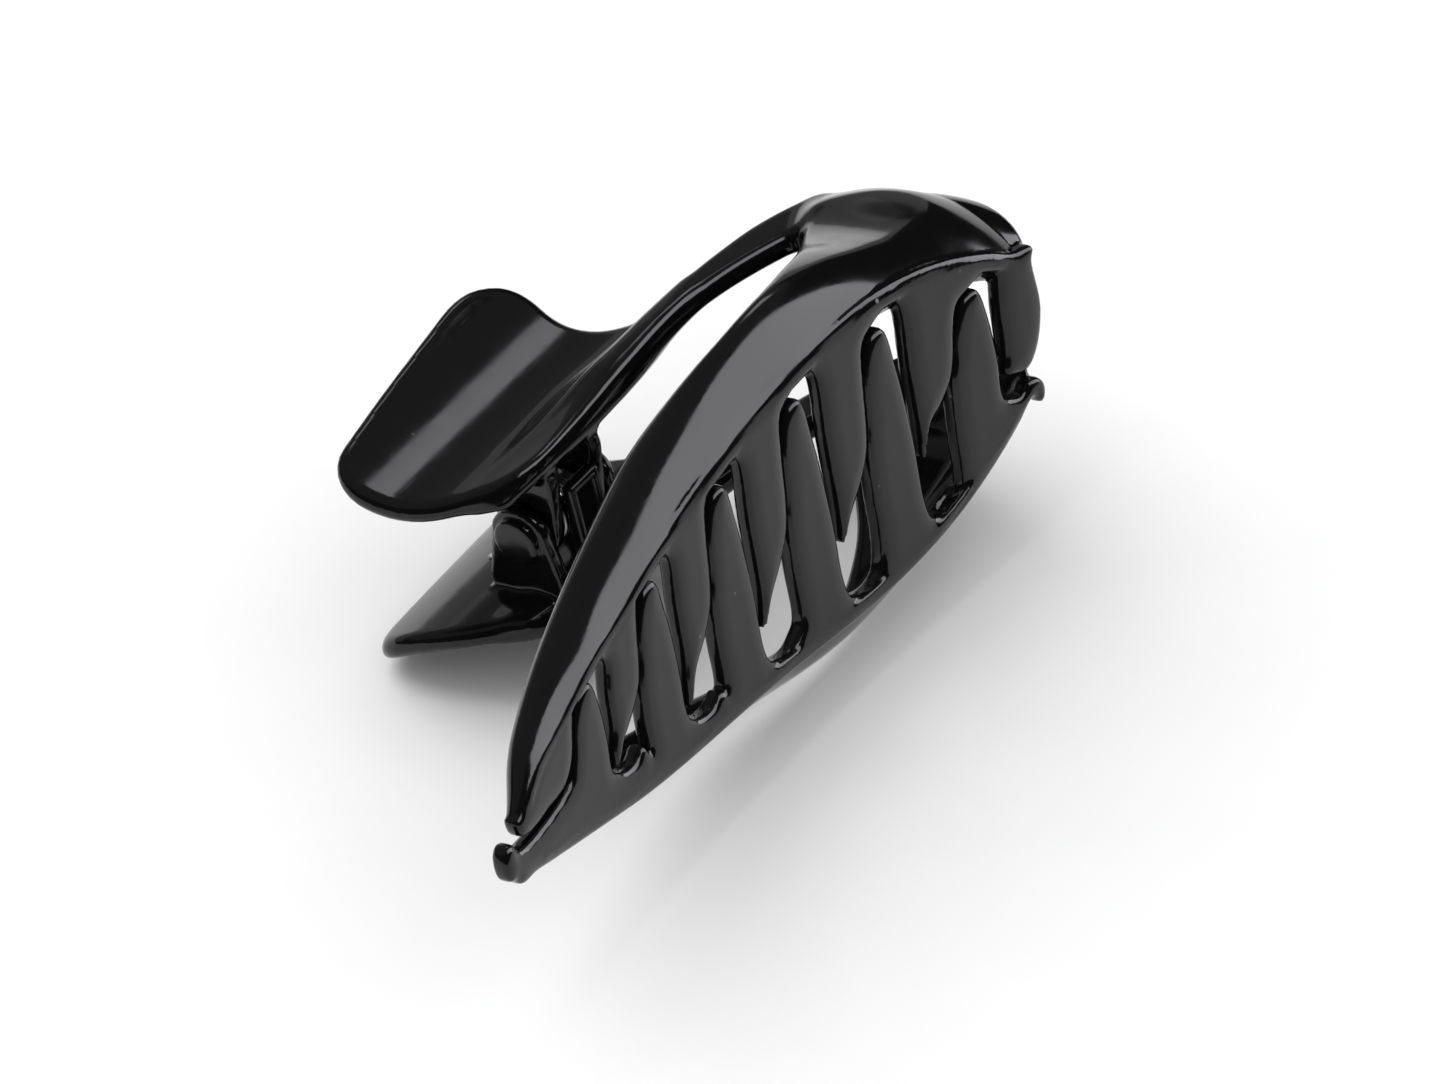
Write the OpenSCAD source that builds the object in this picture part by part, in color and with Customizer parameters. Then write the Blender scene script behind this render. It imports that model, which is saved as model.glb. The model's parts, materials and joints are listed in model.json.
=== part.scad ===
// Sectioning clip: a large claw clip for parting and holding hair.
// Two mirrored jaws turn on one steel pin and are closed by a torsion spring.
// Lengths are millimetres. Each jaw is drawn in the clip's own plane:
// x along the hinge, v from the hinge towards the mouth, w from the closing plane towards the upper jaw.

/* [Mouth] */
// Spacing of the fingers along the jaw
finger_pitch = 15.75; // [15:0.05:16.5]
// Distance from the hinge to the finger faces at the middle of the mouth
mouth_v = 30; // [28:0.5:34]
// Radius that the mouth is curved to, so that it follows the head
mouth_r = 385; // [300:5:600]
// Thickness of the fingers
finger_t = 2.6; // [2:0.1:3]
// Half height of the finger openings at their tallest
mouth_half = 15.3; // [14:0.1:17]

/* [Crest] */
// Height of the crest above the finger openings
crest_rise = 3; // [2.6:0.1:4]
// Wall thickness of the crest
crest_t = 2.8; // [2.2:0.1:3.2]
// How far the middle of the crest reaches back from the finger faces
crest_depth = 9; // [8:0.5:11]

/* [Handles] */
// Width of each thumb paddle
paddle_w = 38; // [36:0.5:40]
// How far the paddles reach behind the hinge
paddle_reach = 18.6; // [17.6:0.2:19.6]
// Radius of the scoop in each paddle
scoop_r = 22; // [20:0.5:26]
// Wall thickness of the paddles
paddle_t = 2.6; // [2.2:0.1:2.8]
// Height of the bottom of the scoop above the closing plane
scoop_low = 10; // [9.8:0.1:10.2]

/* [Hinge] */
// Diameter of the steel pin
pin_d = 2.4; // [2:0.1:2.6]
// Running clearance of the upper jaw on the pin, on the radius
pin_gap = 0.06; // [0.03:0.01:0.1]
// Radius of the hinge ears
ear_r = 3.8; // [3.6:0.1:4]
// Thickness of one hinge ear
ear_t = 1.8; // [1.5:0.1:1.9]
// Diameter of the spring wire
wire_d = 1; // [0.8:0.1:1]
// Mean radius of the spring coil
coil_r = 3; // [2.9:0.05:3.1]

/* [Pose] */
// Tilt at which the clip lies on its lower jaw
lie_tilt = 14; // [13:0.5:15]

/* [Hidden] */
$fn = 48;

PLASTIC = [0.04, 0.04, 0.04];
STEEL = [0.72, 0.72, 0.74];

gap_count = 6;
gap_first = -34;
left_end = -56;
right_end = 51.5;
lower_end = 48;
mouth_x = 2;
peak_x = 18;
coil_half = 3.1;
upper_ear_x = 3.3;
lower_ear_x = 5.4;
pin_half = 7.6;
paddle_x = 1;
lie_height = 18.15;
lie_shift = [2.75, 6.36];

// The openings are tallest right of the middle and taper to a parting tip at the left.
function half_height(x) =
    x < peak_x
        ? mouth_half - 14.4 * pow((peak_x - x) / 75, 1.6)
        : mouth_half - 6.3 * pow((x - peak_x) / 26.7, 2.3);
function crest_w(x) = half_height(x) + crest_rise;
// Extra depth of the lower rail towards its left end.
function keel(x) = 2.2 * (1 - step_between(x, -34, 2));
function face_v(x) = mouth_v + mouth_r - sqrt(mouth_r * mouth_r - pow(x - mouth_x, 2));
function gap_x(k) = gap_first + k * finger_pitch;
function blend(a, b, t) = a + (b - a) * (3 - 2 * t) * t * t;
function step_between(x, x0, x1) = min(1, max(0, (x - x0) / (x1 - x0)));

// Edges of the fingers beside gap k, as [offset in x, height over half height].
UPPER_STRAIGHT = [[-0.3, -0.55], [0.4, -0.3], [1.1, 0.35], [1.9, 0.86]];
UPPER_ARCH = [[1.2, 0.97], [-0.6, 1], [-3.2, 0.96]];
UPPER_CURVED = [[-5.5, 0.88], [-6.9, 0.6], [-8.3, 0.2], [-9.3, 0], [-11.2, -0.2], [-14, -0.38]];
LOWER_STRAIGHT = [[-1.7, -0.8], [-1.2, -0.25], [-1.2, 0.45], [-2, 0.86]];
LOWER_CURVED = [[-4.4, 0.84], [-6.3, 0.6], [-7.7, 0.2], [-8.4, 0], [-9.2, -0.4], [-9.8, -0.82]];

function edge(list, k) = [for (p = list) [gap_x(k) + p[0], p[1] * half_height(gap_x(k))]];
function finger_tip(k) = [gap_x(k) - 0.6, -min(8.8, half_height(gap_x(k)) - 1)];

// Outline of the upper fingers, from the left end of the crest round to the parting tip.
function upper_comb() = concat(
    [for (x = [left_end + 0.6:3:right_end]) [x, crest_w(x) - 0.6]],
    [[right_end - 0.3, 6.6], [50.4, -1], [49.2, -4.4], [47.4, -6.2], [45.4, -6.2]],
    [for (i = [0:gap_count - 1])
        let (k = gap_count - 1 - i)
        each concat(
            i == 0 ? [] : [finger_tip(k)],
            edge(UPPER_STRAIGHT, k),
            edge(UPPER_ARCH, k),
            edge(k == 0 ? [for (j = [0:4]) UPPER_CURVED[j]] : UPPER_CURVED, k))],
    [[-49.5, -1.6], [-53.5, -1.6], [-55.9, -0.9], [left_end + 0.4, 1.1]]);

// Outline of the lower fingers, from the left nub round to the right nub and back along the rail.
function lower_comb() = concat(
    [[-60, -3.2], [-59.8, -1.2], [-58.8, -0.3], [-57.6, -0.7], [-57.2, -2], [-44.2, -2]],
    [for (k = [0:gap_count - 1])
        each concat(
            reverse(edge(k == 0 ? [for (j = [0:3]) LOWER_CURVED[j]] : LOWER_CURVED, k)),
            reverse(edge(LOWER_STRAIGHT, k)),
            k == gap_count - 1 ? [] : [[gap_x(k) - 0.4, -half_height(gap_x(k)) - 0.1],
                                       [gap_x(k) + 3.6, -half_height(gap_x(k)) - 0.4]])],
    [[44.2, -8.2], [46.2, -8.8], [47.2, -8], [48.8, -8.2], [49.6, -9.6], [48.8, -11.4]],
    [for (i = [0:35]) let (x = lower_end - 0.5 - 3 * i) [x, 0.4 - crest_w(x) - keel(x)]],
    [[-58.8, -4.6], [-59.6, -4.2]]);

function reverse(list) = [for (i = [len(list) - 1:-1:0]) list[i]];

// Section of the crest at x, as [v, w] points: finger face, rounded ridge, back edge, inner wall.
// The crest is shallow at the parting tip and reaches far back at the shoulder.
CREST_REACH = [[-56, 0.38], [-50, 0.62], [-44, 0.8], [-30, 0.95], [-14, 1], [21, 1],
               [28, 1.35], [34, 1.85], [39, 2.25], [45, 2.55], [49, 2.5], [54.5, 2.2]];
CREST_BACK = [[-56, 3.3], [-46, 4.4], [-32, 9], [-19, 14.8], [-6, 19.2], [6, 22.2], [14, 23],
              [21, 22], [28, 19.4], [34, 15.4], [39, 12.8], [45, 13.8], [54.5, 14.4]];
function crest_section(x, end, deep) =
    let (past = max(0, x - end), f = face_v(x) - 0.15 - 1.8 * past, g = crest_w(x) + deep * keel(x),
         d = crest_depth * lookup(x, CREST_REACH) - 3 * past, t = min(crest_t, 0.6 * d),
         back = lookup(x, CREST_BACK) - past, bulge = 1.1 + 1.7 * step_between(x, 39, 49),
         mid = (g + back) / 2 + bulge)
    [[f, g - t], [f, g - 0.8], [f - 0.6, g + 0.1], [f - 0.4 * d, mid],
     [f - d + 0.5, back], [f - d, back - 0.6], [f - d + 0.1, back - t],
     [f - 0.45 * d, mid - t], [f - min(2.9, 0.3 * d), g + 0.3 - t]];

ARM_V = [[-10, 1.6], [0, 2], [8, 2.2], [15, 2.8], [21, 3.2], [33, 5], [40, 7.2], [47, 11]];
ARM_W = [[-10, 10.6], [0, 10.8], [8, 11], [15, 11.4], [40, 12], [47, 12]];
ARM_HALF = [[-10, 2.4], [8, 1.6], [15, 1.3], [21, 1.5], [33, 2.3], [40, 3], [47, 3.4]];
ARM_HEEL = [[-10, 0], [8, 0.4], [22, 0.6], [34, 0]];
// Section of the long arm at x, a rounded bar from the paddle to the right shoulder.
function arm_section(x) =
    let (v = lookup(x, ARM_V), w = lookup(x, ARM_W), a = lookup(x, ARM_HALF), b = 1.4,
         heel = lookup(x, ARM_HEEL))
    [[v + a, w - 0.6 * b], [v + a, w + 0.6 * b], [v + a - 0.7, w + b], [v - a + 0.7, w + b],
     [v - a, w + 0.6 * b], [v - a, w - 0.6 * b - heel], [v - a + 0.7, w - b - heel],
     [v + a - 0.7, w - b]];

// Skins a row of equal sections, each at its own x, into one closed solid.
module skin(xs, sections) {
    n = len(sections[0]);
    m = len(xs);
    points = [for (i = [0:m - 1]) each [for (p = sections[i]) [xs[i], -p[0], p[1]]]];
    sides = [for (i = [0:m - 2]) each [for (j = [0:n - 1])
        each let (a = i * n + j, b = i * n + (j + 1) % n)
            [[a, b, b + n], [a, b + n, a + n]]]];
    caps = [[for (j = [0:n - 1]) n - 1 - j], [for (j = [0:n - 1]) (m - 1) * n + j]];
    polyhedron(points, concat(sides, caps));
}

// A flat plate drawn in x and w, standing between two distances from the hinge.
module plate_vw(v0, v1) {
    translate([0, -v0, 0]) rotate([90, 0, 0]) linear_extrude(v1 - v0) children();
}

// A plate drawn in -v and w, between two places along the hinge.
module plate_x(x0, x1) {
    translate([x0, 0, 0]) rotate([90, 0, 90]) linear_extrude(x1 - x0) children();
}

module comb(outline) {
    intersection() {
        plate_vw(mouth_v - 8, mouth_v + 12) polygon(outline);
        translate([mouth_x, -(mouth_v + mouth_r), -40]) difference() {
            cylinder(r = mouth_r + finger_t, h = 80, $fn = 720);
            translate([0, 0, -1]) cylinder(r = mouth_r, h = 82, $fn = 720);
        }
    }
}

// The crest stops at end, where its shoulder is rounded over.
module crest(end, deep) {
    n = 30;
    xs = concat([for (i = [0:n]) left_end + (end - left_end) * i / n], [end + 1.8, end + 3]);
    skin(xs, [for (x = xs) crest_section(x, end, deep)]);
}

module arm() {
    xs = [for (x = [-10:3:47]) x];
    skin(xs, [for (x = xs) arm_section(x)]);
}

// Rounds every corner of an outline, starting each curve at distance r from the corner.
function rounded(p, r) =
    let (n = len(p))
    [for (i = [0:n - 1])
        let (c = p[i], a = p[(i + n - 1) % n] - c, b = p[(i + 1) % n] - c,
             start = c + a * min(0.45, r / norm(a)), end = c + b * min(0.45, r / norm(b)))
        for (t = [0:0.25:1]) (1 - t) * (1 - t) * start + 2 * t * (1 - t) * c + t * t * end];

// Plan outline of the paddle: slanting outer rim, tapered left end, waist at the right towards the arm.
function paddle_outline() =
    let (l = paddle_x - paddle_w / 2, r = paddle_x + paddle_w / 2, b = paddle_reach)
    rounded([[l - 0.6, b - 2.8], [l + 13, b - 1.2], [r - 5, b + 0.6], [r + 0.6, b - 2.6],
             [r - 1.6, 9], [r + 1.2, 1], [l + 26, -4], [l + 9, -5.4], [l + 0.2, 5]], 5);

// The rim is cut off flat at height top.
module paddle(top) {
    scoop_v = -3.5;
    intersection() {
        linear_extrude(top) polygon(paddle_outline());
        translate([-30, -scoop_v, scoop_low + scoop_r]) rotate([0, 90, 0]) difference() {
            cylinder(r = scoop_r + paddle_t, h = 60, $fn = 144);
            translate([0, 0, -1]) cylinder(r = scoop_r, h = 62, $fn = 144);
        }
    }
}

module ear(x0) {
    plate_x(x0, x0 + ear_t) union() {
        circle(r = ear_r);
        polygon([[-ear_r, 0], [ear_r, 0], [5.2, 8.8], [-4.2, 10]]);
    }
}

// Both jaws share this body; the lower one is its mirror image with other fingers and ears.
module jaw_body(end, deep, top, ear_x, bore_r) {
    crest(end, deep);
    arm();
    difference() {
        union() {
            paddle(top);
            for (x0 = [ear_x, -ear_x - ear_t]) ear(x0);
        }
        translate([-12, 0, 0]) rotate([0, 90, 0]) cylinder(r = bore_r, h = 24);
    }
}

module lie() {
    translate([lie_shift[0], lie_shift[1], lie_height]) rotate([-lie_tilt, 0, 0]) children();
}

module jaw_upper() {
    color(PLASTIC) lie() {
        comb(upper_comb());
        jaw_body(right_end, 0, 18, upper_ear_x, pin_d / 2 + pin_gap);
    }
}

module jaw_lower() {
    color(PLASTIC) lie() {
        comb(lower_comb());
        mirror([0, 0, 1]) jaw_body(lower_end, 1, 14, lower_ear_x, pin_d / 2);
        translate([-2.7, -5.5, -11]) cube([5.4, 1.8, 16]);
    }
}

module hinge_pin() {
    color(STEEL) lie() translate([-pin_half, 0, 0]) rotate([0, 90, 0]) cylinder(d = pin_d, h = 2 * pin_half);
}

module spring_coil() {
    color(STEEL) lie() rotate([0, 90, 0]) difference() {
        translate([0, 0, -coil_half]) cylinder(r = coil_r + wire_d / 2, h = 2 * coil_half);
        translate([0, 0, -coil_half - 1]) cylinder(r = coil_r - wire_d / 2, h = 2 * coil_half + 2);
    }
}

module spring_leg(x, side) {
    color(STEEL) lie() translate([x, 0.6, side * (coil_r + wire_d)]) rotate([-90, 0, 0])
        cylinder(d = wire_d, h = 7.4);
}
module spring_leg_lower() { spring_leg(-2.4, -1); }
module spring_leg_upper() { spring_leg(2.4, 1); }

jaw_lower();
jaw_upper();
hinge_pin();
spring_coil();
spring_leg_lower();
spring_leg_upper();
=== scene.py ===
import json
import math

import bpy
import numpy as np
from mathutils import Matrix, Vector


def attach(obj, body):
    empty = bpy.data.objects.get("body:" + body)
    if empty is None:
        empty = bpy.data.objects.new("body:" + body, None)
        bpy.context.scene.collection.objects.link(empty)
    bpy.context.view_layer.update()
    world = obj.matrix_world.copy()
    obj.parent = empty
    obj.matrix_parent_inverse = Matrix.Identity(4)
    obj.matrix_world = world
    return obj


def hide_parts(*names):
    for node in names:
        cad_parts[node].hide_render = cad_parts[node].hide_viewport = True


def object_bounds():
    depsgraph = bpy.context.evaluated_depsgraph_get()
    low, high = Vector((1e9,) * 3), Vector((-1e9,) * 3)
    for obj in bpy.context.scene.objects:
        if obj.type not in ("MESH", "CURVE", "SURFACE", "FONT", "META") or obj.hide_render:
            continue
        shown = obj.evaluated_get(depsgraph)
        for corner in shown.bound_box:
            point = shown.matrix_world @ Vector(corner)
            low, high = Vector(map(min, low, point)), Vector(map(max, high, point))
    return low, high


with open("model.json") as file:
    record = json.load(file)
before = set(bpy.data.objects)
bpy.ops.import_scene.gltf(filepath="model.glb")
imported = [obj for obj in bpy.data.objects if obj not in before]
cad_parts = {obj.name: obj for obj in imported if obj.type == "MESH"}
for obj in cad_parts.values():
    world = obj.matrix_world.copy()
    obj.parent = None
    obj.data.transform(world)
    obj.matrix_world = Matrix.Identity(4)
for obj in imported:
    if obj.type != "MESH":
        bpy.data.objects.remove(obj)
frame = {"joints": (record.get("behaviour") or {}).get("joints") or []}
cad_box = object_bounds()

# A sectioning clip of glossy black plastic, lying closed on its lower jaw.
# The jaws are drawn in millimetres in the clip's own axes: x along the hinge,
# v from the hinge to the mouth, w from the closing plane to the upper jaw.
# Each jaw is one smooth moulding, so it is drawn as a distance field
# (negative inside the plastic), and its surface is meshed with a dual grid.
# The lower jaw is drawn with w turned over, so both jaws share most of their shape.

MM = 0.001
TILT = math.radians(14)
HINGE = np.array(frame["joints"][0]["pos_m"])
GRID = 0.4
FAR = 9  # stands for a distance well off the surface

# ---- Driving sizes ----
# The mouth, the hinge and the scoop follow the CAD source. The roll, the ends and the
# wall of the crest are this model's own, since the CAD skins the crest with flat facets.
# Fingers: spacing, the place of the first gap, the number of gaps, and the thickness
FINGER_PITCH, GAP_FIRST, GAP_COUNT, FINGER_T = 15.75, -34, 6, 2.6
# Their faces are lower by this much round the edges, and rise over this width
PILLOW, PILLOW_WIDTH = 0.4, 2.6
# They are drawn this much larger, since the rounding of their edges takes some away
FINGER_GROWTH = 0.1
# How far the upper fingertips reach past the closing plane at most, and the least gap below them
TIP_REACH, TIP_SPARE = 8.8, 1
# Curve of the finger faces: distance from the hinge, radius, and middle
MOUTH_V, MOUTH_R, MOUTH_X = 30, 385, 2
# Half height of the finger openings at their tallest, and where that is
MOUTH_HALF, PEAK_X = 15.3, 18
# How it falls to the left and to the right of there: by how much, over what length, to what power
FALL_LEFT, FALL_RIGHT = (14.4, 75, 1.6), (6.3, 26.7, 2.3)
# Crest: height above the openings, how far it reaches back, and the wall of all thin shells
CREST_RISE, CREST_DEPTH, WALL = 3, 9, 2.6
# Spacing of the outline points along the crest and the rail
OUTLINE_STEP = 3
# How far below crest_w the upper fingers start on the left, and how much less on the right
LAP, LAP_FADE, LAP_SPAN = 1.2, 0.6, (-30, -6)
# The roll along the front of the crest: its width, its rise, how low it starts, and its power
ROLL_DEPTH, ROLL_RISE, ROLL_DROP, ROLL_POWER = 6.5, 3.5, 1.6, 1.5
# The lip under the crest: its drop, its slope through the wall, how much less that is on the
# lower jaw, and its slope behind the wall
LIP_DROP, LIP_SLOPE, LIP_LOWER, LIP_BEHIND = 1.1, 0.9, 1.4, 3
# Scallops of the crease under the roll: height, and offset from the gaps
SCALLOP, SCALLOP_SHIFT = 0.3, 5
# Extra depth of the lower rail, and the stretch over which it fades to nothing
KEEL, KEEL_SPAN = 2.2, (-34, 2)
# How far the left tip of the upper crest turns down, the stretch over which that fades, and
# the share of it that the back of the crest takes
DROOP, DROOP_SPAN, DROOP_BACK = 2.2, (-57, -48), 0.6
# How much the shelf bulges, and how much more past the start of the dome
SWELL, DOME_SWELL, DOME_SPAN = 1.0, 1.3, (36, 48)
# The right side of the crest curves in where it is nearer to the hinge than SHOULDER_V
SHOULDER_CURVE, SHOULDER_V = 0.022, 27
LEFT_END, UPPER_END, LOWER_END = -56.2, 54.8, 51
# Long arm: half thickness, radius of its edges, and both ends
ARM_HALF_T, ARM_EDGE, ARM_ENDS = 1.5, 1.1, (-12, 49)
# How deep the start of the arm is sunk in the paddle, and where it has come out
ARM_SINK, ARM_SINK_SPAN = 1.7, (-12, 13)
# Scoop of the thumb paddles: radius, height of its bottom, and place of its axis
SCOOP_R, SCOOP_LOW, SCOOP_V = 22, 10, -3.5
# Where each paddle's rim is cut off: the lower one sooner, so that it stays above the floor
UPPER_RIM, LOWER_RIM = 18, 14
# The paddles are drawn this much larger, since the rounding of their rims takes some away
PADDLE_GROWTH = 0.35
# Pin: radius, half length, chamfer, and running clearance in the upper jaw
PIN_R, PIN_HALF, PIN_CHAMFER, PIN_GAP = 1.2, 7.6, 0.35, 0.06
# The caps over its ends: radius and half thickness
CAP_R, CAP_HALF = 2.9, 0.55
# Ears: radius, thickness, and the inner face of each jaw's pair
EAR_R, EAR_T, UPPER_EAR, LOWER_EAR = 3.8, 1.8, 3.3, 5.4
BORE_REACH = 12  # the bore is cut no further from the middle than this
# Cover strip in front of the spring: place, half sizes and edge radius, then its recessed panel
STRIP_V, STRIP_W, STRIP_HALF_X, STRIP_HALF_V, STRIP_HALF_W, STRIP_EDGE = 4.6, -3, 2.7, 0.9, 8, 0.4
PANEL_V, PANEL_W, PANEL_HALF_X, PANEL_HALF_W = 5.15, 0.8, 1.9, 3.4
# Spring: wire, coil radius, turns, and the distance of each leg from the middle
WIRE_D, COIL_R, TURNS, LEG_X = 1.0, 3.0, 4.5, 2.4
# The coil's wire is drawn this much thinner, and through this many points
COIL_THINNING, COIL_POINTS = 0.98, 240


# ---- Small maths ----
def smax(a, b, k):
    """The larger of two fields, with the corner between them rounded over a width k."""
    h = np.clip(0.5 + 0.5 * (a - b) / k, 0, 1)
    return b + (a - b) * h + k * h * (1 - h)


def smin(a, b, k):
    """The smaller of two fields, with the corner between them filled over a width k."""
    return -smax(-a, -b, k)


def step_between(x, x0, x1):
    """Nought before x0, one after x1, and a smooth climb between them."""
    t = np.clip((x - x0) / (x1 - x0), 0, 1)
    return t * t * (3 - 2 * t)


def ramp(x, knots):
    """A smooth curve through the knots (cubic, with Catmull-Rom slopes)."""
    kx = np.array([k[0] for k in knots], float)
    ky = np.array([k[1] for k in knots], float)
    slope = np.gradient(ky, kx)
    slope[0] = slope[-1] = 0
    x = np.clip(x, kx[0], kx[-1])
    i = np.clip(np.searchsorted(kx, x, side="right") - 1, 0, len(kx) - 2)
    h = kx[i + 1] - kx[i]
    t = (x - kx[i]) / h
    a, b = t * t * (3 - 2 * t), t * (1 - t) * (1 - t)
    c = t * t * (1 - t)
    return ky[i] * (1 - a) + ky[i + 1] * a + h * (slope[i] * b - slope[i + 1] * c)


def smooth_outline(points, n=5):
    """A closed curve through the points (centripetal Catmull-Rom)."""
    p = np.array(points, float)
    out = []
    for i in range(len(p)):
        p0, p1, p2, p3 = (p[(i + j - 1) % len(p)] for j in range(4))
        t = np.cumsum([0] + [max(np.linalg.norm(b - a), 1e-3) ** 0.5
                             for a, b in ((p0, p1), (p1, p2), (p2, p3))])
        for s in np.linspace(t[1], t[2], n, endpoint=False):
            a1 = p0 + (p1 - p0) * (s - t[0]) / (t[1] - t[0])
            a2 = p1 + (p2 - p1) * (s - t[1]) / (t[2] - t[1])
            a3 = p2 + (p3 - p2) * (s - t[2]) / (t[3] - t[2])
            b1 = a1 + (a2 - a1) * (s - t[0]) / (t[2] - t[0])
            b2 = a2 + (a3 - a2) * (s - t[1]) / (t[3] - t[1])
            out.append(b1 + (b2 - b1) * (s - t[1]) / (t[2] - t[1]))
    return np.array(out)


class Outline:
    """Signed distance to a closed outline, tabulated once and read by interpolation."""

    def __init__(self, points, margin=6, step=0.2):
        p = np.asarray(points, np.float32)
        self.low = p.min(0) - margin
        self.step = step
        self.n = np.ceil((p.max(0) + margin - self.low) / step).astype(int) + 1
        a = self.low[0] + step * np.arange(self.n[0], dtype=np.float32)
        b = self.low[1] + step * np.arange(self.n[1], dtype=np.float32)
        ga, gb = np.meshgrid(a, b, indexing="ij")
        best = np.full(ga.shape, 1e9, np.float32)
        inside = np.zeros(ga.shape, bool)
        for (ax, ay), (bx, by) in zip(p, np.roll(p, -1, 0)):
            ex, ey = bx - ax, by - ay
            length = ex * ex + ey * ey
            if length < 1e-9:
                continue
            t = np.clip(((ga - ax) * ex + (gb - ay) * ey) / length, 0, 1)
            best = np.minimum(best, (ga - ax - t * ex) ** 2 + (gb - ay - t * ey) ** 2)
            crosses = (ay > gb) != (by > gb)
            if abs(ey) > 1e-9:
                inside ^= crosses & (ga < ax + (gb - ay) * ex / ey)
        self.table = np.where(inside, -1, 1) * np.sqrt(best)

    def __call__(self, a, b):
        a, b = np.broadcast_arrays(a, b)
        fa = np.clip((a - self.low[0]) / self.step, 0, self.n[0] - 1.001)
        fb = np.clip((b - self.low[1]) / self.step, 0, self.n[1] - 1.001)
        i, j = fa.astype(int), fb.astype(int)
        s, t = fa - i, fb - j
        q = self.table
        return ((q[i, j] * (1 - s) + q[i + 1, j] * s) * (1 - t)
                + (q[i, j + 1] * (1 - s) + q[i + 1, j + 1] * s) * t)


# ---- Shape of the jaws ----
def fall(distance, drop, length, power):
    return drop * (np.maximum(distance, 0) / length) ** power


def half_height(x):
    """Half the height of the finger openings along the jaw."""
    return MOUTH_HALF - fall(PEAK_X - x, *FALL_LEFT) - fall(x - PEAK_X, *FALL_RIGHT)


def crest_w(x):
    """Height of the crest's crease, before the droop and the keel."""
    return half_height(np.clip(x, LEFT_END, LOWER_END)) + CREST_RISE


def droop(x):
    """How far the left tip of the upper crest turns down."""
    return DROOP * (1 - step_between(x, *DROOP_SPAN))


def keel(x):
    """Extra depth of the lower rail towards its left end."""
    return KEEL * (1 - step_between(x, *KEEL_SPAN))


def face_v(x):
    """Distance of the finger faces from the hinge."""
    return MOUTH_V + MOUTH_R - np.sqrt(MOUTH_R ** 2 - (x - MOUTH_X) ** 2)


def gap_x(k):
    return GAP_FIRST + k * FINGER_PITCH


# Edges of the fingers beside one gap: offset from the gap, and share of its half height.
# Each finger has a straight edge and a curved one, and the upper gaps close in an arch.
UPPER_STRAIGHT = [(-0.3, -0.55), (0.4, -0.3), (1.1, 0.35), (1.9, 0.86)]
UPPER_ARCH = [(1.2, 0.97), (-0.6, 1), (-3.2, 0.96)]
UPPER_CURVED = [(-5.5, 0.88), (-6.8, 0.6), (-8.0, 0.2), (-9.0, 0), (-11.2, -0.2), (-14, -0.38)]
LOWER_STRAIGHT = [(-1.7, -0.8), (-1.2, -0.25), (-1.2, 0.45), (-2, 0.86)]
LOWER_CURVED = [(-4.4, 0.84), (-6.3, 0.6), (-7.6, 0.2), (-8.4, 0), (-9.2, -0.4), (-9.8, -0.82)]


def edge(points, k):
    """An edge of the fingers, placed at gap k."""
    return [(gap_x(k) + dx, s * half_height(gap_x(k))) for dx, s in points]


def upper_comb():
    """Outline of the upper fingers: back along the crest, then from gap to gap."""
    out = [(x, crest_w(x) - droop(x) - LAP + LAP_FADE * step_between(x, *LAP_SPAN))
           for x in np.arange(LEFT_END + 0.8, UPPER_END, OUTLINE_STEP)]
    out += [(52.0, 6.0), (51.8, 0), (49.9, -4.4), (47.7, -6.2), (45.4, -5.6)]
    for k in reversed(range(GAP_COUNT)):
        if k < GAP_COUNT - 1:
            out.append((gap_x(k) - 0.6, -min(TIP_REACH, half_height(gap_x(k)) - TIP_SPARE)))
        out += edge(UPPER_STRAIGHT, k) + edge(UPPER_ARCH, k)
        out += edge(UPPER_CURVED[:5] if k == 0 else UPPER_CURVED, k)
    return out + [(-49.5, -1.6), (-53, -1.7), (-55.5, -0.9), (LEFT_END + 0.4, 1.1)]


def lower_comb():
    """Outline of the lower fingers: left nub, from bay to bay, right nub, back along the rail."""
    out = [(-60, -3.2), (-59.8, -1.2), (-58.8, -0.3), (-57.6, -0.7), (-57.0, -2), (-44.2, -2)]
    for k in range(GAP_COUNT):
        out += reversed(edge(LOWER_CURVED[:4] if k == 0 else LOWER_CURVED, k))
        out += reversed(edge(LOWER_STRAIGHT, k))
        if k < GAP_COUNT - 1:
            low = half_height(gap_x(k))
            out += [(gap_x(k) - 1.1, 0.6 - low), (gap_x(k) + 0.4, -low - 0.3)]
            out += [(gap_x(k) + 3.0, -low - 0.7), (gap_x(k) + 4.8, 0.1 - low)]
    out += [(44.2, -8.2), (46.2, -8.8), (47.2, -8), (48.8, -8.2), (49.6, -9.6), (48.8, -11.4)]
    out += [(x, 0.4 - crest_w(x) - keel(x)) for x in 47.5 - OUTLINE_STEP * np.arange(36)]
    return out + [(-58.8, -4.6), (-59.6, -4.2)]


# The thumb paddle seen from above: x, and distance behind the hinge. It ends in the arm.
PADDLE = [(-18.6, 15.8), (-5, 17.4), (15, 19.2), (20.6, 16), (18.6, 9), (20.6, 3), (28, -1.6),
          (14, -3.8), (4, -4.4), (-9, -5.0), (-17.8, 5)]


def rounded(points, r=5, n=8):
    """The outline with every corner turned into a curve that starts r from the corner."""
    p = np.array(points, float)
    out = []
    for i in range(len(p)):
        c, a, b = p[i], p[i - 1] - p[i], p[(i + 1) % len(p)] - p[i]
        start = c + a * min(0.48, r / np.linalg.norm(a))
        end = c + b * min(0.48, r / np.linalg.norm(b))
        for t in np.linspace(0, 1, n):
            out.append((1 - t) ** 2 * start + 2 * t * (1 - t) * c + t * t * end)
    return np.array(out)


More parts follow.
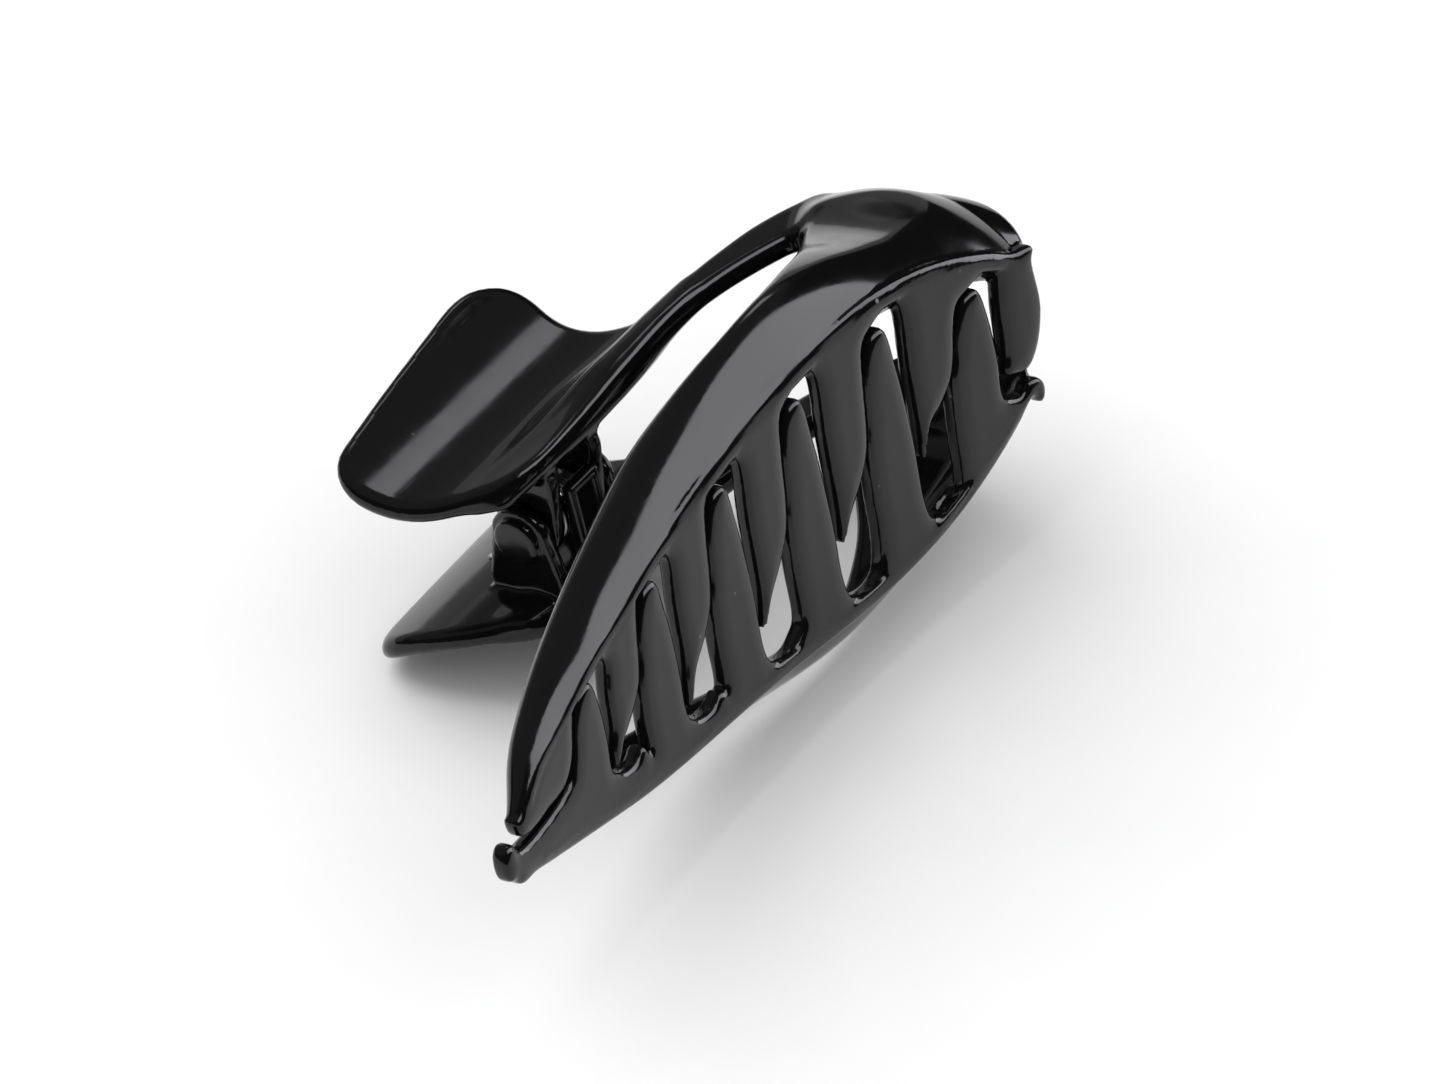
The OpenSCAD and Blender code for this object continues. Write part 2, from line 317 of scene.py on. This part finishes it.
# One ear seen along the hinge: distance behind the hinge, and w. Its top is in the paddle.
EAR = [(-EAR_R, 0), (-3.5, -1.5), (-2.7, -2.7), (-1.5, -3.5), (0, -EAR_R), (1.5, -3.5), (2.7, -2.7),
       (3.5, -1.5), (EAR_R, 0), (5.2, 8.0), (-4.2, 9.2)]

upper_comb_field = Outline(smooth_outline(upper_comb()))
lower_comb_field = Outline(smooth_outline(lower_comb()))
paddle_field = Outline(rounded(PADDLE))
ear_field = Outline(smooth_outline(EAR, 3), margin=4)

# Along x: how far the crest reaches back (as a share of CREST_DEPTH), and the height of its back
REACH = [(-56, 0.32), (-50, 0.5), (-44, 0.64), (-30, 0.86), (-14, 1), (21, 1), (28, 1.35),
         (34, 1.85), (39, 2.25), (45, 2.55), (49, 2.5), (54.5, 2.2)]
BACK = [(-56, 4.7), (-46, 7.2), (-32, 11.2), (-19, 15.2), (-6, 19.2), (6, 22.2), (14, 23), (21, 22),
        (28, 19.6), (34, 16.4), (39, 14.6), (45, 14.8), (54.5, 14.4)]
# Along x: the middle line of the long arm and its half width
ARM_V = [(-12, 1.6), (0, 2), (8, 2.2), (15, 2.8), (21, 3.2), (33, 5), (40, 7.2), (47, 11), (52, 15)]
ARM_W = [(-12, 8.2), (-3, 8.6), (3, 9.6), (9, 10.7), (15, 11.3), (40, 12), (52, 12)]
ARM_HALF = [(-12, 2.2), (8, 1.7), (15, 1.5), (21, 1.6), (33, 2.3), (40, 3), (52, 3.6)]


def face_field(x, v, end):
    """Distance in front of the finger faces, turned back round both ends of the jaw."""
    front = smax(v - face_v(x), x - end, 8)
    return smax(front, LEFT_END - x, 4)


def crest_field(x, v, w, end, deep):
    """The crest: a roll along the front that runs back into a shelf, and on the right a dome.

    deep is 1 for the lower jaw, which has the keel, and 0 for the upper jaw, which has the droop.
    """
    depth = CREST_DEPTH * ramp(x, REACH)
    behind = face_v(x) - v
    side = end - SHOULDER_CURVE * np.maximum(0, SHOULDER_V - v) ** 2
    u = -face_field(x, v, side)
    base = crest_w(x) + deep * keel(x) - (1 - deep) * droop(x) - ROLL_DROP
    back = ramp(x, BACK) - DROOP_BACK * (1 - deep) * droop(x)
    # The top, as a height and its slope. s climbs from the front to the back of the crest,
    # and t from the back to the front of the roll.
    s = np.clip(behind / depth, 0, 1)
    t = 1 - np.clip(u / ROLL_DEPTH, 0, 1)
    climb = back - base - ROLL_RISE
    swell = SWELL + DOME_SWELL * step_between(x, *DOME_SPAN)
    scallop = SCALLOP * np.sin((x - GAP_FIRST + SCALLOP_SHIFT) * 2 * np.pi / FINGER_PITCH)
    roll = ROLL_RISE * (1 - t ** ROLL_POWER)
    roll_slope = ROLL_POWER * ROLL_RISE / ROLL_DEPTH * t ** (ROLL_POWER - 1)
    height = base + scallop * t ** 6 + roll + climb * s + swell * 4 * s * (1 - s)
    slope = roll_slope + (climb + swell * 4 * (1 - 2 * s)) / depth
    outer = smax((w - height) / np.sqrt(1 + slope * slope), -u, 0.4)
    shell = np.maximum(outer, -(outer + WALL))
    shell = smax(shell, behind - depth, 1.6)
    # The wall ends in a slanted lip, clear of the finger openings
    through = (LIP_SLOPE - LIP_LOWER * deep) * np.clip(u, 0, WALL)
    lip = LIP_DROP + through + LIP_BEHIND * np.maximum(u - WALL, 0)
    return smax(shell, base - lip - w, 0.5)


def box_field(a, b, half_a, half_b, r):
    """Distance to a rectangle with corners of radius r."""
    qa, qb = np.abs(a) - half_a + r, np.abs(b) - half_b + r
    return (np.sqrt(np.maximum(qa, 0) ** 2 + np.maximum(qb, 0) ** 2)
            + np.minimum(np.maximum(qa, qb), 0) - r)


def arm_field(x, v, w):
    """The long arm from the paddle to the dome."""
    bar = box_field(v - ramp(x, ARM_V), w - ramp(x, ARM_W), ramp(x, ARM_HALF), ARM_HALF_T, ARM_EDGE)
    sink = ARM_SINK * (1 - step_between(x, *ARM_SINK_SPAN))
    return smax(bar + sink, np.maximum(ARM_ENDS[0] - x, x - ARM_ENDS[1]), 3)


def scoop_field(x, v, w, top):
    """The scooped thumb paddle with its rounded rim."""
    plan = paddle_field(x, -v)
    level = np.sqrt((v - SCOOP_V) ** 2 + (w - SCOOP_LOW - SCOOP_R) ** 2) - SCOOP_R - WALL / 2
    level = np.where(w > SCOOP_LOW + SCOOP_R, FAR, level)
    return smax(smax(plan - PADDLE_GROWTH, np.abs(level) - WALL / 2, 1.6), w - top, 0.8)


def body_field(x, v, w, end, deep, top, ear_x, bore_r):
    """What both jaws share, with w measured towards the jaw's own side."""
    d = smin(crest_field(x, v, w, end, deep), arm_field(x, v, w), 3)
    d = smin(d, scoop_field(x, v, w, top), 4)
    ear = smax(ear_field(-v, w), np.abs(np.abs(x) - ear_x - EAR_T / 2) - EAR_T / 2, 0.4)
    d = smin(d, ear, 0.8)
    bore = np.where(np.abs(x) > BORE_REACH, -FAR, bore_r - np.sqrt(v * v + w * w))
    return smax(d, bore, 0.25)


def comb_field(x, v, w, outline):
    """The fingers: a curved plate cut to the outline, with softly pillowed fronts."""
    front = v - face_v(x)
    plan = outline(x, w) - FINGER_GROWTH
    pillow = front + PILLOW * np.clip(1 + plan / PILLOW_WIDTH, 0, 1) ** 2
    return smax(smax(plan, pillow, 0.7), -(front + FINGER_T), 0.8)


def upper_jaw(x, v, w):
    """The whole upper jaw."""
    body = body_field(x, v, w, UPPER_END, 0, UPPER_RIM, UPPER_EAR, PIN_R + PIN_GAP)
    return np.minimum(body, comb_field(x, v, w, upper_comb_field))


def lower_jaw(x, v, w):
    """The whole lower jaw, with the caps over the pin and the strip in front of the spring."""
    body = body_field(x, v, -w, LOWER_END, 1, LOWER_RIM, LOWER_EAR, PIN_R)
    radius = np.sqrt(v * v + w * w)
    cap = smax(radius - CAP_R, np.abs(np.abs(x) - PIN_HALF) - CAP_HALF, 0.5)
    hollow = np.maximum(radius - PIN_R, np.abs(x) - PIN_HALF)
    body = smin(body, np.maximum(cap, -hollow), 0.3)
    strip = box_field(v - STRIP_V, w - STRIP_W, STRIP_HALF_V, STRIP_HALF_W, STRIP_EDGE)
    panel = np.maximum(np.abs(x) - PANEL_HALF_X, np.abs(w - PANEL_W) - PANEL_HALF_W)
    panel = np.maximum(panel, PANEL_V - v)
    strip = smax(smax(strip, np.abs(x) - STRIP_HALF_X, 0.5), -panel, 0.15)
    body = smin(body, strip, 0.8)
    return np.minimum(body, comb_field(x, v, w, lower_comb_field))


# ---- Meshing ----
def mesh_field(field, low, high):
    """Vertices and quads of the surface where the field is zero."""
    axes = [np.arange(a, b, GRID, dtype=np.float32) for a, b in zip(low, high)]
    s = field(axes[0][:, None, None], axes[1][None, :, None], axes[2][None, None, :])
    s = np.asarray(s, np.float32)
    s[np.abs(s) < 1e-5] = 1e-5  # no corner lies on the surface itself
    inside = s < 0
    n = np.array(s.shape) - 1
    count = np.zeros(n, np.int8)
    corners = [(i, j, k) for i in (0, 1) for j in (0, 1) for k in (0, 1)]
    for i, j, k in corners:
        count += inside[i:i + n[0], j:j + n[1], k:k + n[2]]
    cell = np.argwhere((count > 0) & (count < 8))
    values = {c: s[tuple((cell + c).T)] for c in corners}
    total = np.zeros((len(cell), 3), np.float32)
    hits = np.zeros(len(cell), np.float32)
    for c in corners:
        for axis in range(3):
            if c[axis]:
                continue
            d = tuple(1 if q == axis else c[q] for q in range(3))
            a, b = values[c], values[d]
            cut = (a < 0) != (b < 0)
            t = np.where(cut, a / np.where(cut, a - b, 1), 0)
            point = np.tile(np.array(c, np.float32), (len(cell), 1))
            point[:, axis] = t
            total += point * cut[:, None]
            hits += cut
    verts = cell + total / hits[:, None]
    number = np.full(n, -1, np.int32)
    number[tuple(cell.T)] = np.arange(len(cell))
    quads = []
    for axis in range(3):
        a = inside[tuple(slice(0, -1) if q == axis else slice(1, -1) for q in range(3))]
        b = inside[tuple(slice(1, None) if q == axis else slice(1, -1) for q in range(3))]
        at = np.argwhere(a != b)
        out = a[tuple(at.T)]
        base = at + np.array([0 if q == axis else 1 for q in range(3)])
        e1 = np.array([1 if q == (axis + 1) % 3 else 0 for q in range(3)])
        e2 = np.array([1 if q == (axis + 2) % 3 else 0 for q in range(3)])
        ring = [base - e1 - e2, base - e2, base, base - e1]
        quad = np.stack([number[tuple(r.T)] for r in ring], 1)
        quads.append(np.where(out[:, None], quad, quad[:, ::-1]))
    quads = np.concatenate(quads)
    verts, quads = largest_part(np.array(low) + GRID * verts, quads)
    for _ in range(3):
        verts = pull_to_surface(field, verts)
    return verts, quads


def largest_part(verts, quads):
    """The surface without the specks that a thin edge can leave beside it."""
    label = np.arange(len(verts))
    ends = np.concatenate([quads[:, [0, 1]], quads[:, [1, 2]], quads[:, [2, 3]]])
    while True:
        low = np.minimum(label[ends[:, 0]], label[ends[:, 1]])
        new = label.copy()
        np.minimum.at(new, ends[:, 0], low)
        np.minimum.at(new, ends[:, 1], low)
        new = new[new]
        if (new == label).all():
            break
        label = new
    kept = label == np.bincount(label).argmax()
    return verts[kept], (np.cumsum(kept) - 1)[quads[kept[quads[:, 0]]]]


def pull_to_surface(field, p):
    """One Newton step of every point towards the surface."""
    e, longest, least_gradient = 0.03, 0.2, 0.2
    s = field(p[:, 0], p[:, 1], p[:, 2])
    g = np.stack([(field(*(p + e * np.eye(3)[q]).T) - field(*(p - e * np.eye(3)[q]).T)) / (2 * e)
                  for q in range(3)], 1)
    move = -(s / np.maximum((g * g).sum(1), least_gradient))[:, None] * g
    length = np.linalg.norm(move, axis=1, keepdims=True)
    return p + move * np.minimum(1, longest / np.maximum(length, 1e-9))


def to_world(p):
    """Clip axes in millimetres to the frame in metres."""
    p = np.asarray(p, float) * MM
    c, s = math.cos(TILT), math.sin(TILT)
    return np.stack([p[:, 0], -p[:, 1] * c + p[:, 2] * s, p[:, 1] * s + p[:, 2] * c], 1) + HINGE


def new_piece(name, verts, faces, material, body, node):
    """A smooth mesh that rides on a body and stands for a CAD node."""
    mesh = bpy.data.meshes.new(name)
    mesh.from_pydata(to_world(verts).tolist(), [], [list(map(int, f)) for f in faces])
    mesh.validate()
    mesh.polygons.foreach_set("use_smooth", [True] * len(mesh.polygons))
    mesh.update()
    obj = bpy.data.objects.new(name, mesh)
    bpy.context.scene.collection.objects.link(obj)
    obj.data.materials.append(material)
    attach(obj, body)
    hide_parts(node)
    return obj


def tube(path, radius, sides=16):
    """A round wire along a path, with domed ends."""
    path = np.array(path, float)
    tangent = np.gradient(path, axis=0)
    tangent /= np.linalg.norm(tangent, axis=1)[:, None]
    verts, faces = [], []
    normal = np.cross(tangent[0], (0.3, 0.5, 0.8))
    for i, (p, t) in enumerate(zip(path, tangent)):
        normal = normal - t * normal.dot(t)
        normal /= np.linalg.norm(normal)
        other = np.cross(t, normal)
        r = radius * (0.7 if i in (0, len(path) - 1) else 1)
        for j in range(sides):
            a = 2 * math.pi * j / sides
            verts.append(p + r * (math.cos(a) * normal + math.sin(a) * other))
        if i:
            for j in range(sides):
                k = (j + 1) % sides
                a, b = (i - 1) * sides, i * sides
                faces.append((a + j, a + k, b + k, b + j))
    faces.append(tuple(range(sides - 1, -1, -1)))
    faces.append(tuple(range(len(verts) - sides, len(verts))))
    return np.array(verts), faces


# ---- Materials ----
class Nodes:
    """A short way to write node trees."""

    def __init__(self, name):
        self.material = bpy.data.materials.new(name)
        self.material.use_nodes = True
        self.tree = self.material.node_tree
        self.shader = self.tree.nodes["Principled BSDF"]
        self.place = self.tree.nodes.new("ShaderNodeTexCoord").outputs["Object"]

    def add(self, kind, inputs=(), **settings):
        node = self.tree.nodes.new(kind)
        for key, value in settings.items():
            setattr(node, key, value)
        for key, value in dict(inputs).items():
            if isinstance(value, bpy.types.NodeSocket):
                self.tree.links.new(value, node.inputs[key])
            else:
                node.inputs[key].default_value = value
        return node.outputs[0]

    def stretch(self, scale, turn=(0, 0, 0)):
        return self.add("ShaderNodeMapping", {"Vector": self.place, "Scale": scale, "Rotation": turn})

    def noise(self, scale, detail=3, where=None):
        return self.add("ShaderNodeTexNoise", {"Vector": where or self.place, "Scale": scale,
                                               "Detail": detail})

    def span(self, value, low, high, to_low=0.0, to_high=1.0):
        return self.add("ShaderNodeMapRange", {"Value": value, "From Min": low, "From Max": high,
                                               "To Min": to_low, "To Max": to_high})

    def maths(self, operation, a, b):
        return self.add("ShaderNodeMath", {0: a, 1: b}, operation=operation)

    def colours(self, factor, a, b):
        node = self.tree.nodes.new("ShaderNodeMix")
        node.data_type = "RGBA"
        self.tree.links.new(factor, node.inputs[0])
        node.inputs[6].default_value = (*a, 1)
        node.inputs[7].default_value = (*b, 1)
        return node.outputs[2]

    def set(self, **sockets):
        for name, value in sockets.items():
            socket = self.shader.inputs[name.replace("_", " ")]
            if isinstance(value, bpy.types.NodeSocket):
                self.tree.links.new(value, socket)
            else:
                socket.default_value = value
        return self.material


def gloss_black():
    """Moulded plastic: gently wavy, with fine scratches and a few pale specks of dust."""
    m = Nodes("gloss_black_plastic")
    waves = m.noise(90, 2)
    scratch = m.noise(160, 3, m.stretch((1, 14, 3), (0.3, 0.2, 0.6)))
    scratch = m.span(scratch, 0.66, 0.74)
    specks = m.add("ShaderNodeTexVoronoi", {"Vector": m.place, "Scale": 170, "Randomness": 1})
    specks = m.span(specks, 0.055, 0.03)
    patch = m.span(m.noise(70, 2), 0.5, 0.62)
    specks = m.maths("MULTIPLY", specks, patch)
    rough = m.span(m.noise(400, 4), 0.35, 0.7, 0.1, 0.15)
    rough = m.maths("ADD", rough, m.maths("MULTIPLY", scratch, 0.1))
    rough = m.maths("ADD", rough, m.maths("MULTIPLY", specks, 0.4))
    height = m.maths("ADD", m.maths("MULTIPLY", waves, 1.0), m.maths("MULTIPLY", scratch, -0.02))
    bump = m.add("ShaderNodeBump", {"Height": height, "Strength": 0.05, "Distance": 0.001})
    return m.set(Base_Color=m.colours(specks, (0.004, 0.004, 0.0042), (0.16, 0.16, 0.15)),
                 Roughness=rough, IOR=1.4, Normal=bump)


def steel(name, shade, rough):
    """Drawn wire, with fine streaks along x."""
    m = Nodes(name)
    draw = m.noise(900, 3, m.stretch((0.08, 1, 1)))
    tone = m.span(draw, 0.3, 0.7)
    bump = m.add("ShaderNodeBump", {"Height": draw, "Strength": 0.1, "Distance": 0.0002})
    return m.set(Base_Color=m.colours(tone, shade, [0.8 * c for c in shade]), Metallic=1.0,
                 Roughness=m.span(draw, 0.3, 0.7, rough, rough + 0.15), Normal=bump)


def matt(name, colour):
    """A plain surface with a faint grain."""
    m = Nodes(name)
    grain = m.span(m.noise(60, 2), 0.3, 0.7)
    return m.set(Base_Color=m.colours(grain, colour, [0.985 * c for c in colour]), Roughness=0.9)


# ---- Pieces ----
JAW_LOW, JAW_HIGH = (-62, -21.5, -19), (57, 37, 26)
# One leg of the spring, from the coil to the paddle: v, and distance from the closing plane
LEG = [(0.1, 3.0), (-0.8, 3.0), (-1.8, 3.1), (-3, 3.5), (-4.3, 4.2), (-6.5, 5.75), (-8.4, 7.05),
       (-9.2, 7.5)]


def build_jaws():
    plastic = gloss_black()
    verts, faces = mesh_field(upper_jaw, JAW_LOW, JAW_HIGH)
    new_piece("upper_jaw_moulding", verts, faces, plastic, "upper_body", "jaw_upper")
    low, high = (JAW_LOW[0], JAW_LOW[1], -JAW_HIGH[2]), (JAW_HIGH[0], JAW_HIGH[1], 18)
    verts, faces = mesh_field(lower_jaw, low, high)
    new_piece("lower_jaw_moulding", verts, faces, plastic, "lower_body", "jaw_lower")


def build_pin():
    shoulder = PIN_HALF - PIN_CHAMFER
    path = [(x, 0, 0) for x in (-PIN_HALF, -shoulder, 0, shoulder, PIN_HALF)]
    verts, faces = tube(path, PIN_R, 40)
    bright = steel("pin_steel", (0.62, 0.62, 0.64), 0.2)
    new_piece("hinge_pin_steel", verts, faces, bright, "lower_body", "hinge_pin")


def build_spring():
    """A coil that starts at the lower leg and ends at the upper one, then both legs."""
    spring = steel("spring_steel", (0.5, 0.5, 0.52), 0.22)
    coil = []
    for a in np.linspace(0, 1, COIL_POINTS):
        turn = 2 * math.pi * (TURNS * a - 0.25)
        coil.append((-LEG_X + 2 * LEG_X * a, COIL_R * math.cos(turn), COIL_R * math.sin(turn)))
    verts, faces = tube(coil, WIRE_D / 2 * COIL_THINNING, 12)
    new_piece("torsion_spring_coil", verts, faces, spring, "lower_body", "spring_coil")
    for name, x, side, body in (("lower", -LEG_X, -1, "lower_body"), ("upper", LEG_X, 1, "upper_body")):
        verts, faces = tube([(x, v, side * w) for v, w in LEG], WIRE_D / 2, 12)
        new_piece("spring_leg_" + name + "_wire", verts, faces, spring, body, "spring_leg_" + name)


build_jaws()
build_pin()
build_spring()

# ---- Studio ----
FLOOR_HALF, FLOOR_GAP = 3.0, 0.0002
AZIMUTH, ELEVATION, DISTANCE = math.radians(-56.4), math.radians(41), 3.0
SENSOR, VIEW_WIDTH, VIEW_RIGHT, VIEW_UP = 36, 0.1631, 0.0190, -0.00418
LIGHT_AIM = Vector((0, 0, 0.02))
COOL = (0.97, 0.95, 1.0)


def build_floor():
    mesh = bpy.data.meshes.new("floor")
    h = FLOOR_HALF
    mesh.from_pydata([(-h, -h, 0), (h, -h, 0), (h, h, 0), (-h, h, 0)], [], [(0, 1, 2, 3)])
    floor = bpy.data.objects.new("floor", mesh)
    floor.location.z = cad_box[0].z - FLOOR_GAP
    bpy.context.scene.collection.objects.link(floor)
    floor.data.materials.append(matt("pale_floor", (0.9, 0.9, 0.9)))


def build_camera():
    """A long lens from the left front, above the mouth, as VIEW_WIDTH metres across the hinge."""
    back = Vector((math.sin(AZIMUTH) * math.cos(ELEVATION), -math.cos(AZIMUTH) * math.cos(ELEVATION),
                   math.sin(ELEVATION)))
    right = Vector((math.cos(AZIMUTH), math.sin(AZIMUTH), 0))
    up = back.cross(right)
    target = Vector(HINGE) + VIEW_RIGHT * right + VIEW_UP * up
    camera = bpy.data.objects.new("camera", bpy.data.cameras.new("camera"))
    camera.location = target + DISTANCE * back
    camera.rotation_euler = (camera.location - target).to_track_quat("Z", "Y").to_euler()
    camera.data.sensor_width = SENSOR
    camera.data.lens = SENSOR * DISTANCE / VIEW_WIDTH
    camera.data.clip_end = 20
    bpy.context.scene.collection.objects.link(camera)
    bpy.context.scene.camera = camera


def build_world():
    """An even white surround that lights the floor and isn't mirrored in the plastic."""
    world = bpy.data.worlds.new("studio")
    world.use_nodes = True
    world.node_tree.nodes["Background"].inputs[0].default_value = (1, 1, 1, 1)
    world.node_tree.nodes["Background"].inputs[1].default_value = 0.82
    world.cycles_visibility.glossy = False
    bpy.context.scene.world = world
    bpy.context.scene.view_settings.view_transform = "Standard"


def softbox(name, towards, along, distance, length, width, radiance, colour=(1, 1, 1), fill=False):
    """A soft rectangular light that faces the clip from the given direction.

    A fill light only lights the surfaces, and every other light is only mirrored in them.
    """
    z = Vector(towards).normalized()
    x = (Vector(along) - z * z.dot(Vector(along))).normalized()
    light = bpy.data.lights.new(name, "AREA")
    light.shape = "RECTANGLE"
    light.size, light.size_y = length, width
    light.energy = radiance * math.pi * length * width
    light.color = colour
    lamp = bpy.data.objects.new(name, light)
    lamp.location = LIGHT_AIM + distance * z
    lamp.rotation_euler = Matrix((x, z.cross(x), z)).transposed().to_euler()
    lamp.visible_camera = False
    lamp.visible_glossy = not fill
    lamp.visible_diffuse = fill
    bpy.context.scene.collection.objects.link(lamp)


def build_lights():
    softbox("key_box", (0.6, -0.5, 0.62), (0.7, 0.12, -0.76), 1.2, 2.0, 0.74, 5.2, COOL)
    softbox("thumb_box", (0.63, 0.36, 0.69), (1, 0, -0.9), 1.3, 0.3, 0.3, 3.0, COOL)
    softbox("far_wall", (0.5, 1.0, 0.16), (1, -0.5, 0), 1.8, 3.0, 0.6, 0.35)
    softbox("dim_ceiling", (0.1, 0.6, 1.0), (1, 0, 0), 1.8, 4.0, 3.0, 0.16)
    softbox("floor_fill", (0.0, 0.6, 0.9), (1, 0, 0), 1.3, 1.3, 1.3, 2.0, fill=True)


build_floor()
build_camera()
build_world()
build_lights()
